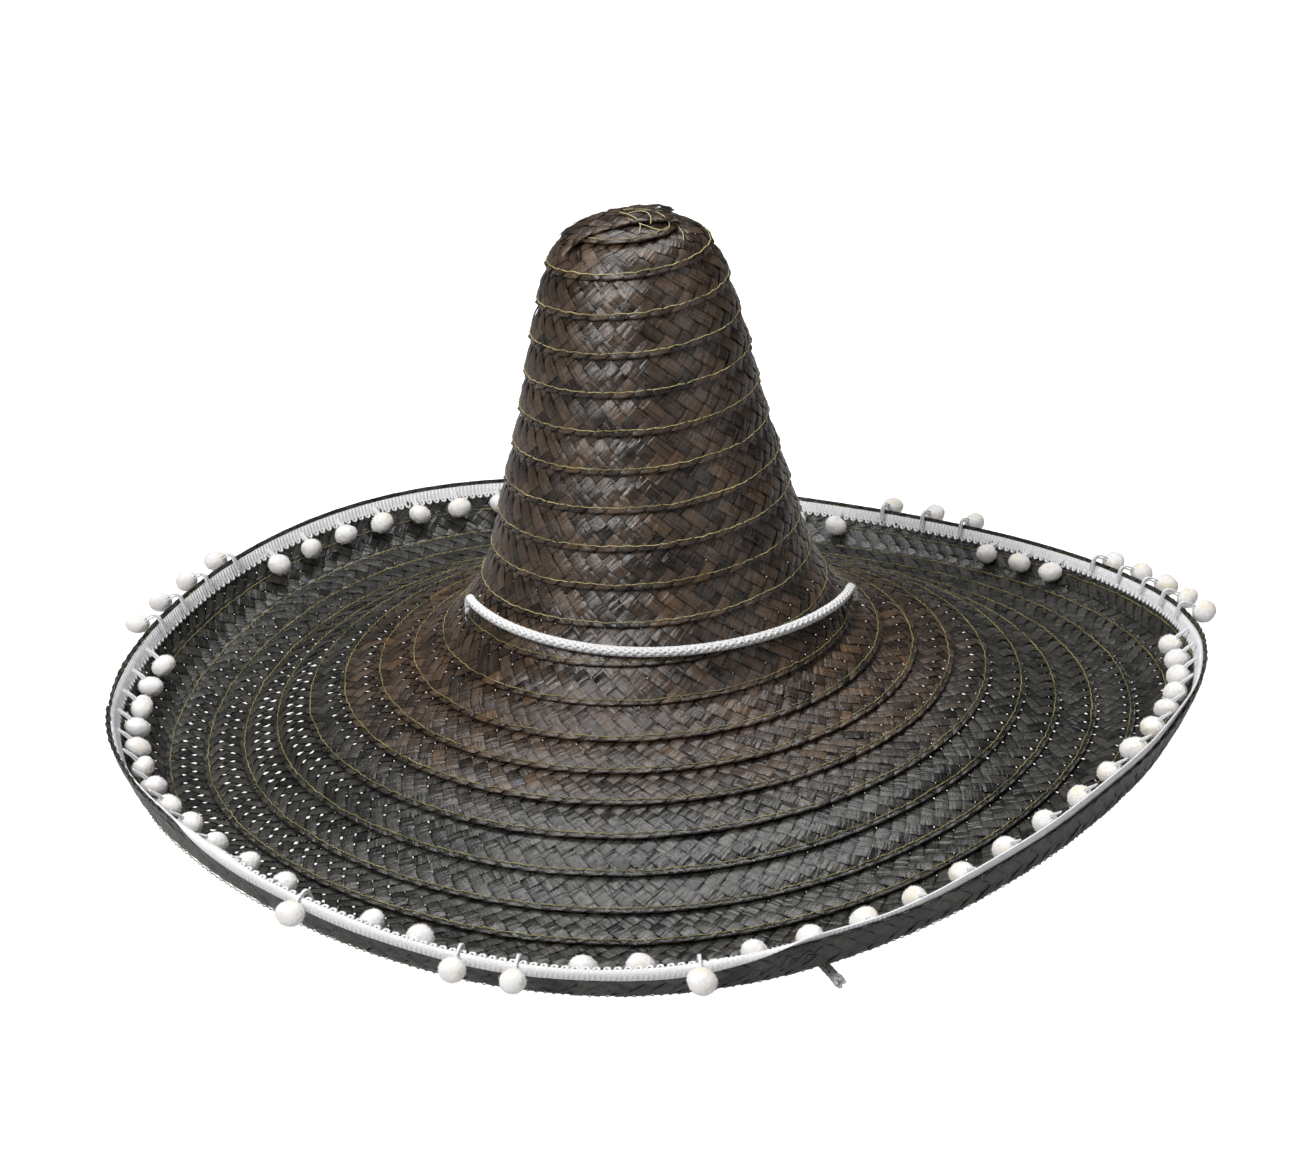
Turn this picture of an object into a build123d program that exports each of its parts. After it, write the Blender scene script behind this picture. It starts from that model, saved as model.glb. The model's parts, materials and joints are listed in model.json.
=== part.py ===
from build123d import *
import os
from math import cos, hypot, pi, radians, sin, tan

os.makedirs("parts", exist_ok=True)

# Driving dimensions in mm. +Z is up, -Y is the front, Z is the crown's axis and Z = 0 is what the hat stands on.
# Angles run counter-clockwise seen from above, and 0 is +X.
straw_thickness = 3.0  # two lapped layers of plaited straw
sewing_gap = 0.35  # between pieces that thread holds together
wave_start = 100.0  # radius where the brim's waves begin
edge_start = 240.0  # radius where the turned-up edge begins
section_step = 15  # degrees between the brim's sections

# The middle of the straw along one radius, as (radius, height), before the waves.
crown_line = [(0, 271), (13, 270), (26, 266), (36.5, 258.5), (43, 247), (47.5, 232), (53.5, 208), (60, 176),
              (68.5, 143), (77, 110), (81.5, 94), (89, 78)]
brim_line = [(89.4, 77.4), (98, 64.5), (110.5, 51.5), (127, 41.5), (160, 29.5), (192, 15.5), (209, 6.5), (229, 1.5),
             (249, 0), (262, 1.5), (270.5, 5.5), (277, 12), (281, 19.5), (284, 28)]
rim_radius = brim_line[-1][0]

# A wave is how many times it goes round, its height at the edge and the direction of one crest.
brim_waves = [(2, 11.0, -30.0), (3, 6.5, -7.0), (4, 3.5, 41.0)]
edge_waves = [(1, 4.8, -108.0), (2, 4.0, -8.0), (3, 6.0, -39.0)]

# Crown tip: the folded start of the braid, a curved patch on the apex.
tip_length = 46.0
tip_width = 24.0
tip_thickness = 2.4

# Trim tape and pom-poms.
tape_width = 8.0
tape_thickness = 1.4
tape_inset = 6.5  # from the brim's edge to the tape's middle
pom_radius = 6.5
stem_radius = 1.0
stem_bend = 2.5
pom_reach = 12.0  # along the straw from the tape to a ball that lies inside the brim
edge_clearance = 3.4  # how far outside the edge a stem turns down to a ball that hangs outside
stem_height = straw_thickness / 2 + tape_thickness + 2 * sewing_gap + stem_radius  # its foot, on the tape
first_pom_angle = 169.0
# Neighbouring pom-poms that have fallen the same way, in order round the edge.
pom_runs = [("inside", 12), ("outside", 1), ("inside", 2), ("outside", 2), ("inside", 2), ("outside", 1),
            ("inside", 16), ("outside", 5), ("inside", 3), ("outside", 3), ("inside", 15), ("outside", 4)]
pom_count = sum(count for side, count in pom_runs)

# Chin cord: one cord, threaded down through a hole on each side of the crown.
cord_diameter = 5.0
hole_diameter = 7.0
hole_depth = 30.0
chin_route = [(-93.6, -13.2, 79), (-93.6, -13.2, 93), (-89.5, -34, 95.5), (-74, -61, 96), (-49, -82.5, 95),
              (-19, -94, 93.5), (13, -95.5, 92.5), (44, -86, 91.5), (69.5, -68, 90), (88, -43.5, 87),
              (99.5, -17.5, 83), (104.7, 7.3, 79.5), (104.7, 7.3, 68)]
right_tail_route = [(104.7, 7.3, 68), (104.7, 7.3, 46), (102.5, 1.5, 25), (97, -12, 9.5), (88, -31, 2.6),
                    (74, -64, 2.6), (61, -102, 2.6), (53, -143, 2.6), (53, -186, 2.6), (61, -226.5, 2.6),
                    (76, -264, 2.6)]
left_tail_route = [(-93.6, -13.2, 79), (-93.6, -13.2, 55), (-95, -9, 32), (-99, 3, 13), (-106, 23, 2.6),
                   (-118, 54, 2.6), (-122, 94, 2.6), (-106, 132, 2.6), (-74, 160, 2.6), (-34, 170, 2.6),
                   (8, 165, 2.6), (44, 146, 2.6)]


# Height that the waves add to the straw at one place on the brim.
def wave_height(angle, radius):
    brim_share = max(0, (radius - wave_start) / (rim_radius - wave_start)) ** 2
    edge_share = max(0, (radius - edge_start) / (rim_radius - edge_start)) ** 2
    brim = sum(height * cos(times * radians(angle - crest)) for times, height, crest in brim_waves)
    edge = sum(height * cos(times * radians(angle - crest)) for times, height, crest in edge_waves)
    return brim * brim_share + edge * edge_share


# How far the brim's lowest point is lifted to stand on Z = 0.
stand_height = straw_thickness / 2 - min(
    height + wave_height(angle, radius) for angle in range(360) for radius, height in brim_line
)


# Every point of a line in the radial plane, moved square to the line: outwards on the crown, upwards on the brim.
def shifted(line, amount):
    moved = []
    for i, (radius, height) in enumerate(line):
        before, after = line[max(i - 1, 0)], line[min(i + 1, len(line) - 1)]
        run, rise = after[0] - before[0], after[1] - before[1]
        out = 0 if radius == 0 else radius - amount * rise / hypot(run, rise)
        moved.append((out, height + amount * run / hypot(run, rise)))
    return moved


def raised_crown():
    return [(radius, height + stand_height) for radius, height in crown_line]


def raised_brim(angle):
    return [(radius, height + stand_height + wave_height(angle, radius)) for radius, height in brim_line]


# The upright plane through the crown's axis at an angle: its x is the radius and its y the height.
def radial_plane(angle):
    a = radians(angle)
    return Plane(origin=(0, 0, 0), x_dir=(cos(a), sin(a), 0), z_dir=(sin(a), -cos(a), 0))


def radial_point(angle, radius, height):
    a = radians(angle)
    return Vector(radius * cos(a), radius * sin(a), height)


# A place near the brim's edge: so far outwards along the straw from the edge, and so far above its middle.
def edge_place(angle, outwards, above):
    line = raised_brim(angle)
    (r0, z0), (r1, z1) = line[-3], line[-1]
    length = hypot(r1 - r0, z1 - z0)
    run, rise = (r1 - r0) / length, (z1 - z0) / length
    return r1 + outwards * run - above * rise, z1 + outwards * rise + above * run


# Stem and ball of one pom-pom, as points in its radial plane. An inside one lies on the brim's upper face.
def pom_points(angle, side):
    foot = edge_place(angle, -tape_inset, stem_height)
    if side == "inside":
        clear = straw_thickness / 2 + pom_radius + 2 * sewing_gap
        line = raised_brim(angle)
        # The ball's centre stands square above the straw, pom_reach in from the tape.
        left = tape_inset + pom_reach
        i = len(line) - 1
        while hypot(line[i][0] - line[i - 1][0], line[i][1] - line[i - 1][1]) < left:
            left -= hypot(line[i][0] - line[i - 1][0], line[i][1] - line[i - 1][1])
            i -= 1
        run, rise = line[i][0] - line[i - 1][0], line[i][1] - line[i - 1][1]
        length = hypot(run, rise)
        centre = (line[i][0] - left * run / length - clear * rise / length,
                  line[i][1] - left * rise / length + clear * run / length)
        return [foot, centre]
    over_edge = edge_place(angle, edge_clearance, stem_height)
    centre = edge_place(angle, 2.0, -straw_thickness / 2 - pom_radius - 4 * sewing_gap)
    return [foot, over_edge, centre]


# Tangent arcs for a cord's route: each radius is as large as its two runs allow.
def arc_radii(route):
    radii = []
    for before, point, after in zip(route, route[1:], route[2:]):
        first, second = Vector(*point) - Vector(*before), Vector(*after) - Vector(*point)
        half_turn = radians(first.get_angle(second)) / 2
        radii.append(0.45 * min(first.length, second.length) / tan(half_turn))
    return radii


def cord_tube(name, route):
    radii = arc_radii(route)
    with BuildPart() as cord:
        with BuildLine():
            path = FilletPolyline(*route, radius=radii)
        with BuildSketch(Plane(origin=path @ 0, z_dir=path % 0)):
            Circle(cord_diameter / 2)
        sweep()
    length = path.length
    filled = cord.part.volume / (pi * cord_diameter**2 / 4 * length)
    print(name, "length", round(length), "volume over section times length", round(filled, 4))
    print(name, "radii", [round(radius, 1) for radius in radii])
    cord.part.label = name
    export_step(cord.part, f"parts/{name}.step")


# Crown: the cone of lapped rows with its round top, open below.
with BuildPart() as crown_shell:
    with BuildSketch(Plane.XZ):
        with BuildLine():
            outer = shifted(raised_crown(), straw_thickness / 2)
            inner = shifted(raised_crown(), -straw_thickness / 2)
            Spline(*outer)
            Line(outer[-1], inner[-1])
            Spline(*inner[::-1])
            Line(inner[0], outer[0])
        make_face()
    revolve(axis=Axis.Z)
crown_shell.part.label = "crown_shell"
export_step(crown_shell.part, "parts/crown_shell.step")

# Crown tip: the folded start of the braid, sewn flat over the apex.
with BuildPart() as crown_tip:
    with BuildSketch(Plane.XZ):
        with BuildLine():
            lower = shifted(raised_crown(), straw_thickness / 2 + sewing_gap)[:5]
            upper = shifted(raised_crown(), straw_thickness / 2 + sewing_gap + tip_thickness)[:5]
            Spline(*upper)
            Line(upper[-1], lower[-1])
            Spline(*lower[::-1])
            Line(lower[0], upper[0])
        make_face()
    revolve(axis=Axis.Z)
    with Locations((0, 0, upper[0][1])):
        Box(tip_length, tip_width, 4 * tip_length, mode=Mode.INTERSECT)
crown_tip.part.label = "crown_tip"
export_step(crown_tip.part, "parts/crown_tip.step")

# Brim: two half turns of lofted sections, with a hole on each side of the crown for the cord.
with BuildPart() as brim_shell:
    for start in (0, 180):
        for angle in range(start, start + 181, section_step):
            with BuildSketch(radial_plane(angle)):
                with BuildLine():
                    upper = shifted(raised_brim(angle), straw_thickness / 2)
                    lower = shifted(raised_brim(angle), -straw_thickness / 2)
                    Spline(*upper)
                    Line(upper[-1], lower[-1])
                    Spline(*lower[::-1])
                    Line(lower[0], upper[0])
                make_face()
        loft()
    with Locations(chin_route[0], chin_route[-1]):
        Cylinder(hole_diameter / 2, hole_depth, mode=Mode.SUBTRACT)
brim_shell.part.label = "brim_shell"
export_step(brim_shell.part, "parts/brim_shell.step")

# Trim tape: a thin strip round the inner side of the turned-up edge.
with BuildPart() as trim_tape:
    for start in (0, 180):
        for angle in range(start, start + 181, section_step):
            bottom = straw_thickness / 2 + sewing_gap
            top = bottom + tape_thickness
            inner, outer = -tape_inset - tape_width / 2, -tape_inset + tape_width / 2
            with BuildSketch(radial_plane(angle)):
                with BuildLine():
                    corners = [(inner, bottom), (outer, bottom), (outer, top), (inner, top)]
                    Polyline(*[edge_place(angle, *corner) for corner in corners], close=True)
                make_face()
        loft()
trim_tape.part.label = "trim_tape"
export_step(trim_tape.part, "parts/trim_tape.step")

# Pom-poms: one or two neighbours that have fallen the same way share a node.
number = 0
for side, count in pom_runs:
    left = count
    while left > 0:
        in_node = min(2, left)
        with BuildPart() as pom_poms:
            for k in range(number, number + in_node):
                angle = first_pom_angle + k * 360 / pom_count
                points = pom_points(angle, side)
                with BuildLine(radial_plane(angle)) as stem:
                    FilletPolyline(*points, radius=stem_bend) if len(points) > 2 else Line(*points)
                with BuildSketch(Plane(origin=stem.wires()[0] @ 0, z_dir=stem.wires()[0] % 0)):
                    Circle(stem_radius)
                sweep(path=stem.wires()[0])
                with Locations(radial_point(angle, *points[-1])):
                    Sphere(pom_radius, rotation=(0, 0, angle + 90))
        name = f"pom_poms_{number + 1:02d}"
        pom_poms.part.label = name
        export_step(pom_poms.part, f"parts/{name}.step")
        number += in_node
        left -= in_node

# Chin cord: the stretch round the front of the crown, and its two tails under the brim.
cord_tube("chin_cord_front", chin_route)
cord_tube("cord_tail_right", right_tail_route)
cord_tube("cord_tail_left", left_tail_route)
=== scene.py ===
import json
from math import cos, sin, pi, radians, sqrt, tau

import bpy
import numpy as np
from mathutils import Matrix, Vector


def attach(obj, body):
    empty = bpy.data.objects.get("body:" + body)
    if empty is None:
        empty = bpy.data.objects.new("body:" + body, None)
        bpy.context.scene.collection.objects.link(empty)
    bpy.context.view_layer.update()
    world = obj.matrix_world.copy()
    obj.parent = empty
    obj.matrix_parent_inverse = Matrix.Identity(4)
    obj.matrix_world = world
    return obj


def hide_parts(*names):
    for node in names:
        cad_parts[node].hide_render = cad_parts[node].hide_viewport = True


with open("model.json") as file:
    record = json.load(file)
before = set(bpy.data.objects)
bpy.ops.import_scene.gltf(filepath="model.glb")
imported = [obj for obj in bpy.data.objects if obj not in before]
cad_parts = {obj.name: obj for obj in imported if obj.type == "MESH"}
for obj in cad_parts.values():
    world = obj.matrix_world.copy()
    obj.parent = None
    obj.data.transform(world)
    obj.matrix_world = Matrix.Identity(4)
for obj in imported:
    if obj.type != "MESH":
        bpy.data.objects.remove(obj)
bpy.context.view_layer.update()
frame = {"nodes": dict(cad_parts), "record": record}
mm = 0.001
bodyOf = {node: body for body, nodes in frame["record"]["behaviour"]["bodies"].items() for node in nodes}

# camera

camera = {"lens": 85.6, "elevation": 23.446, "roll": -2.963, "target": (0.811, 0, 92.707), "distance": 1599}


def placeCamera():
    data = bpy.data.cameras.new("camera")
    data.lens, data.sensor_width = camera["lens"], 36
    data.clip_start, data.clip_end = 0.05, 30
    made = bpy.data.objects.new("camera", data)
    bpy.context.scene.collection.objects.link(made)
    tilt, roll = radians(camera["elevation"]), radians(camera["roll"])
    ahead, right = Vector((0, cos(tilt), -sin(tilt))), Vector((1, 0, 0))
    up = right.cross(ahead)
    across = cos(roll) * right + sin(roll) * up
    made.matrix_world = Matrix.Translation((Vector(camera["target"]) - ahead * camera["distance"]) * mm) @ \
        Matrix((across, cos(roll) * up - sin(roll) * right, -ahead)).transposed().to_4x4()
    bpy.context.scene.camera = made


placeCamera()

# helpers


def addNode(tree, kind, links=None, **settings):  # one node, its settings and what feeds it
    node = tree.nodes.new(kind)
    for name, value in settings.items():
        setattr(node, name, value)
    for key, value in (links or {}).items():
        socket = node.inputs[key] if isinstance(key, int) else \
            next(s for s in node.inputs if s.enabled and s.name == key)
        if isinstance(value, bpy.types.Node):
            value = next(s for s in value.outputs if s.enabled)
        if isinstance(value, bpy.types.NodeSocket):
            tree.links.new(value, socket)
        else:
            socket.default_value = value
    return node


def reckon(tree, operation, *values):
    return addNode(tree, "ShaderNodeMath", dict(enumerate(values)), operation=operation)


def reckonVector(tree, operation, vector, other):
    return addNode(tree, "ShaderNodeVectorMath", {0: vector, "Scale" if operation == "SCALE" else 1: other},
                   operation=operation)


def linear(code, alpha=1.0):
    channels = [int(code[i:i + 2], 16) / 255 for i in (1, 3, 5)]
    return tuple(c / 12.92 if c <= 0.04045 else ((c + 0.055) / 1.055) ** 2.4 for c in channels) + (alpha,)


def newTree(name, sockets):
    tree = bpy.data.node_groups.new(name, "GeometryNodeTree")
    tree.interface.new_socket(name="Geometry", in_out="INPUT", socket_type="NodeSocketGeometry")
    for label, kind in sockets:
        tree.interface.new_socket(name=label, in_out="INPUT", socket_type="NodeSocket" + kind)
    tree.interface.new_socket(name="Geometry", in_out="OUTPUT", socket_type="NodeSocketGeometry")
    return tree, tree.nodes.new("NodeGroupInput")


def endTree(tree, geometry, material):
    realized = addNode(tree, "GeometryNodeRealizeInstances", {"Geometry": geometry})
    finished = addNode(tree, "GeometryNodeSetMaterial", {"Geometry": realized, "Material": material})
    addNode(tree, "NodeGroupOutput", {"Geometry": finished})
    return tree


def grow(name, mesh, tree, **values):
    source = bpy.data.objects.new(name + "_source", mesh)
    bpy.context.scene.collection.objects.link(source)
    modifier = source.modifiers.new("grow", "NODES")
    modifier.node_group = tree
    sockets = {i.name: i.identifier for i in tree.interface.items_tree
        if i.item_type == "SOCKET" and i.in_out == "INPUT"}
    for label, value in values.items():
        modifier[sockets[label.replace("_", " ")]] = value
    bpy.context.view_layer.update()
    plain = bpy.data.meshes.new_from_object(source.evaluated_get(bpy.context.evaluated_depsgraph_get()))
    bpy.data.objects.remove(source)
    made = bpy.data.objects.new(name, plain)
    plain.name = name
    bpy.context.scene.collection.objects.link(made)
    return made


def newMesh(name, points, faces, edges=()):
    mesh = bpy.data.meshes.new(name)
    mesh.from_pydata([tuple(p) for p in points], list(edges), [tuple(f) for f in faces])
    if len(faces):
        mesh.shade_smooth()
    return mesh


def giveUv(mesh, name, values):
    layer = mesh.uv_layers.new(name=name)
    corners = np.zeros(len(mesh.loops), np.int32)
    mesh.loops.foreach_get("vertex_index", corners)
    layer.data.foreach_set("uv", np.asarray(values, np.float32)[corners].ravel())


def giveValue(mesh, name, values, kind="FLOAT"):
    layer = mesh.attributes.new(name, kind, "POINT")
    layer.data.foreach_set("vector" if kind == "FLOAT_VECTOR" else "value",
        np.asarray(values, np.float32).ravel())


def nurbsLine(points, resolution=12):
    data = bpy.data.curves.new("line", "CURVE")
    data.dimensions, data.resolution_u = "3D", resolution
    spline = data.splines.new("NURBS")
    spline.points.add(len(points) - 1)
    for held, point in zip(spline.points, points):
        held.co = (*point, 1)
    spline.order_u = 3
    spline.use_endpoint_u = True
    carrier = bpy.data.objects.new("line", data)
    mesh = bpy.data.meshes.new_from_object(carrier)
    line = np.array([v.co[:] for v in mesh.vertices])
    bpy.data.meshes.remove(mesh)
    bpy.data.objects.remove(carrier)
    bpy.data.curves.remove(data)
    return line


def pathMesh(lines):
    points, edges = [], []
    for line in lines:
        edges += [(len(points) + i, len(points) + i + 1) for i in range(len(line) - 1)]
        points += [tuple(p) for p in line]
    return newMesh("path", points, [], edges)


# materials


def newMaterial(name):
    material = bpy.data.materials.new(name)
    material.use_nodes = True
    tree = material.node_tree
    tree.nodes.clear()
    return material, tree


def endMaterial(tree, colour, bumps=(), **values):
    normal = None
    for height, distance in bumps:
        normal = addNode(tree, "ShaderNodeBump", {"Height": height, "Distance": distance, "Strength": 1.0,
                                                  **({"Normal": normal} if normal else {})})
    links = {"Base Color": colour, **values}
    if normal:
        links["Normal"] = normal
    shader = addNode(tree, "ShaderNodeBsdfPrincipled", links)
    addNode(tree, "ShaderNodeOutputMaterial", {"Surface": shader})


# edge: width in mm of the painted shade band along each straw's edges
strawLook = {"fibre": 0.35, "halfWidth": 3.4, "edge": 1.15, "splits": 0.55, "brownDark": "#15100d",
    "brownLight": "#5d4a3b", "greyDark": "#131413", "greyLight": "#42423e", "tan": "#5e452c",
    "roughness": 0.28}


# palm leaf dyed black, flattened: long fibres along each straw, a waxy broken sheen, uneven dye, and painted
# shade darkening each straw towards its edges, standing in for the shade in the gaps between straws
def dyedPalmStraw():
    material, tree = newMaterial("dyed palm straw")
    uv = addNode(tree, "ShaderNodeUVMap", uv_map="straw")
    dye = addNode(tree, "ShaderNodeAttribute", attribute_name="dye").outputs["Fac"]
    turn = addNode(tree, "ShaderNodeAttribute", attribute_name="turn").outputs["Fac"]
    shift = reckonVector(tree, "MULTIPLY", addNode(tree, "ShaderNodeCombineXYZ",
        {"X": dye, "Y": dye, "Z": dye}), (7.0, 3.0, 11.0))
    own = reckonVector(tree, "ADD", uv, shift)
    across = 1 / (strawLook["fibre"] * mm)
    lengthwise = reckonVector(tree, "MULTIPLY", own, (across / 22, across, 1))
    fibres = addNode(tree, "ShaderNodeTexNoise", {"Vector": lengthwise, "Scale": 1.0, "Detail": 3.0,
        "Roughness": 0.6})
    blotches = addNode(tree, "ShaderNodeTexNoise",
        {"Vector": reckonVector(tree, "MULTIPLY", own, (90, 220, 1)), "Scale": 1.0, "Detail": 3.0,
        "Roughness": 0.55})
    creases = addNode(tree, "ShaderNodeTexNoise",
        {"Vector": reckonVector(tree, "MULTIPLY", own, (330, 60, 1)), "Scale": 1.0, "Detail": 2.0})
    brown = addNode(tree, "ShaderNodeMapRange", {"Value": turn, "From Min": 5.4, "From Max": 7.2,
        "To Min": 0.06, "To Max": 0.85})
    tone = reckon(tree, "ADD", reckon(tree, "MULTIPLY", dye, 0.55), reckon(tree, "MULTIPLY", blotches, 0.75))
    level = addNode(tree, "ShaderNodeMapRange", {"Value": tone, "From Min": 0.25, "From Max": 0.95})
    warm = addNode(tree, "ShaderNodeMix", {"Factor": level, "A": linear(strawLook["brownDark"]),
        "B": linear(strawLook["brownLight"])}, data_type="RGBA")
    cool = addNode(tree, "ShaderNodeMix", {"Factor": level, "A": linear(strawLook["greyDark"]),
        "B": linear(strawLook["greyLight"])}, data_type="RGBA")
    base = addNode(tree, "ShaderNodeMix", {"Factor": brown, "A": cool, "B": warm}, data_type="RGBA")
    odd = addNode(tree, "ShaderNodeMapRange", {"Value": dye, "From Min": 0.9, "From Max": 0.97,
        "To Min": 0.0, "To Max": 0.6})
    oddHere = reckon(tree, "MULTIPLY", odd, brown)
    mixed = addNode(tree, "ShaderNodeMix", {"Factor": oddHere, "A": base, "B": linear(strawLook["tan"])},
        data_type="RGBA")
    fibreStreaksAndGapShade = addNode(tree, "ShaderNodeMapRange", {"Value": fibres, "From Min": 0.3, "From Max": 0.7,
        "To Min": 0.6, "To Max": 1.4})
    fromMiddle = reckon(tree, "ABSOLUTE", addNode(tree, "ShaderNodeSeparateXYZ", {0: uv}).outputs["Y"])
    # painted shade: each straw's colour falls to 0.04 towards its edges, standing in for the shade in the
    # gaps between straws
    paintedGapShade = addNode(tree, "ShaderNodeMapRange", {"Value": fromMiddle,
        "From Min": (strawLook["halfWidth"] - strawLook["edge"]) * mm,
        "From Max": strawLook["halfWidth"] * mm, "To Min": 1.0, "To Max": 0.04})
    splitPlace = reckon(tree, "MULTIPLY", reckon(tree, "SINE", reckon(tree, "MULTIPLY", dye, 37.0)), 1.6 * mm)
    fromSplit = reckon(tree, "ABSOLUTE", reckon(tree, "SUBTRACT",
        addNode(tree, "ShaderNodeSeparateXYZ", {0: uv}).outputs["Y"], splitPlace))
    hasSplit = reckon(tree, "LESS_THAN", reckon(tree, "FRACT", reckon(tree, "MULTIPLY", dye, 13.0)),
        strawLook["splits"])
    splitDepth = addNode(tree, "ShaderNodeMapRange", {"Value": fromSplit, "From Min": 0.08 * mm,
        "From Max": 0.32 * mm, "To Min": 0.75, "To Max": 0.0})
    splitShade = reckon(tree, "SUBTRACT", 1.0, reckon(tree, "MULTIPLY", splitDepth, hasSplit))
    # fibre streaks, split lines and the painted gap shade together darken the colour
    fibreStreaksAndGapShade = reckon(tree, "MULTIPLY", reckon(tree, "MULTIPLY", fibreStreaksAndGapShade, paintedGapShade), splitShade)
    final = addNode(tree, "ShaderNodeMix", {"Factor": 1.0, "A": mixed,
        "B": addNode(tree, "ShaderNodeCombineColor", {"Red": fibreStreaksAndGapShade, "Green": fibreStreaksAndGapShade, "Blue": fibreStreaksAndGapShade})},
        data_type="RGBA", blend_type="MULTIPLY")
    gloss = addNode(tree, "ShaderNodeMapRange", {"Value": blotches, "From Min": 0.3, "From Max": 0.7,
        "To Min": strawLook["roughness"] - 0.1, "To Max": strawLook["roughness"] + 0.12})
    endMaterial(tree, final, [(creases, 0.9 * mm), (fibres, 0.16 * mm)], Roughness=gloss,
        **{"Specular IOR Level": 0.6})
    return material


# glazed cotton thread: pale olive gold, the twist too fine to see but as a slight roughness
def sewingThread(name, code):
    material, tree = newMaterial(name)
    uv = addNode(tree, "ShaderNodeUVMap", uv_map="straw")
    twist = addNode(tree, "ShaderNodeTexWave", {"Vector": reckonVector(tree, "MULTIPLY", uv, (1, 0.8, 1)),
        "Scale": 1 / (0.9 * mm) / 6.3, "Distortion": 0.0}, bands_direction="DIAGONAL")
    place = addNode(tree, "ShaderNodeTexCoord")
    age = addNode(tree, "ShaderNodeTexNoise", {"Vector": place.outputs["Object"], "Scale": 60.0,
        "Detail": 2.0})
    dark = addNode(tree, "ShaderNodeMix", {"Factor": addNode(tree, "ShaderNodeMapRange", {"Value": age,
        "From Min": 0.35, "From Max": 0.65}), "A": linear(code[0]), "B": linear(code[1])}, data_type="RGBA")
    endMaterial(tree, dark, [(twist, 0.08 * mm)], Roughness=0.55)
    return material


# polyester yarn: bright white, soft broken highlights from single filaments, with painted shade: greyer where
# the bump noise is low, in the hollows of the fluff
def whiteYarn(name, code, spacing, roughness):
    material, tree = newMaterial(name)
    place = addNode(tree, "ShaderNodeTexCoord")
    fluff = addNode(tree, "ShaderNodeTexNoise", {"Vector": place.outputs["Object"],
        "Scale": 1 / (spacing * mm), "Detail": 3.0, "Roughness": 0.7})
    # painted shade: the first, greyer colour is laid where the fluff bump is low, standing in for shade in
    # the hollows
    paintedHollowShade = addNode(tree, "ShaderNodeMapRange", {"Value": fluff, "From Min": 0.3, "From Max": 0.65})
    colour = addNode(tree, "ShaderNodeMix", {"Factor": paintedHollowShade, "A": linear(code[0]), "B": linear(code[1])},
        data_type="RGBA")
    endMaterial(tree, colour, [(fluff, 0.12 * mm)], Roughness=roughness,
        **{"Sheen Weight": 0.25, "Sheen Roughness": 0.4})
    return material


def woolFelt():  # pressed fibre pom-pom: matt, white with a cream tinge in the hollows, hazy edge
    material, tree = newMaterial("wool felt")
    place = addNode(tree, "ShaderNodeTexCoord")
    fuzz = addNode(tree, "ShaderNodeTexNoise", {"Vector": place.outputs["Object"], "Scale": 1 / (0.6 * mm),
        "Detail": 3.0, "Roughness": 0.7})
    lumps = addNode(tree, "ShaderNodeTexNoise", {"Vector": place.outputs["Object"], "Scale": 1 / (7 * mm),
        "Detail": 2.0})
    tinge = addNode(tree, "ShaderNodeMapRange", {"Value": lumps, "From Min": 0.52, "From Max": 0.72,
        "To Min": 0.0, "To Max": 0.8})
    colour = addNode(tree, "ShaderNodeMix", {"Factor": tinge, "A": linear("#f4f2f1"),
        "B": linear("#f0e4c8")}, data_type="RGBA")
    endMaterial(tree, colour, [(fuzz, 0.25 * mm)], Roughness=0.95,
        **{"Sheen Weight": 0.4, "Sheen Roughness": 0.6})
    return material


straw = dyedPalmStraw()
stitchThread = sewingThread("sewing thread", ("#6a6439", "#a89f66"))
crownThread = sewingThread("crown sewing thread", ("#958a5c", "#cbbd86"))
looseThread = sewingThread("loose sewing thread", ("#b9ad78", "#d9cf9d"))
# first colour of each yarn pair: painted shade in the hollows of the fluff
cordYarn = whiteYarn("braided polyester cord", ("#d6d6d8", "#f8f8f7"), 0.7, 0.7)
gimpYarn = whiteYarn("viscose gimp", ("#d2d4d8", "#f6f6f5"), 0.6, 0.6)
felt = woolFelt()
print("materials made")

# cords

cord = {"diameter": 5.0, "strands": 8, "lay": 17.0, "flare": 1.25}
chinRoute = [(-93.6, -13.2, 79), (-93.6, -13.2, 93), (-89.5, -34, 95.5), (-74, -61, 96), (-49, -82.5, 95),
    (-19, -94, 93.5), (13, -95.5, 92.5), (44, -86, 91.5), (69.5, -68, 90), (88, -43.5, 87),
    (99.5, -17.5, 83), (104.7, 7.3, 79.5), (104.7, 7.3, 68)]
rightTailRoute = [(104.7, 7.3, 68), (104.7, 7.3, 46), (102.5, 1.5, 25), (97, -12, 9.5), (88, -31, 2.6),
    (74, -64, 2.6), (61, -102, 2.6), (53, -143, 2.6), (53, -186, 2.6), (61, -226.5, 2.6), (76, -264, 2.6)]
leftTailRoute = [(-93.6, -13.2, 79), (-93.6, -13.2, 55), (-95, -9, 32), (-99, 3, 13), (-106, 23, 2.6),
    (-118, 54, 2.6), (-122, 94, 2.6), (-106, 132, 2.6), (-74, 160, 2.6), (-34, 170, 2.6), (8, 165, 2.6),
    (44, 146, 2.6)]


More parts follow.
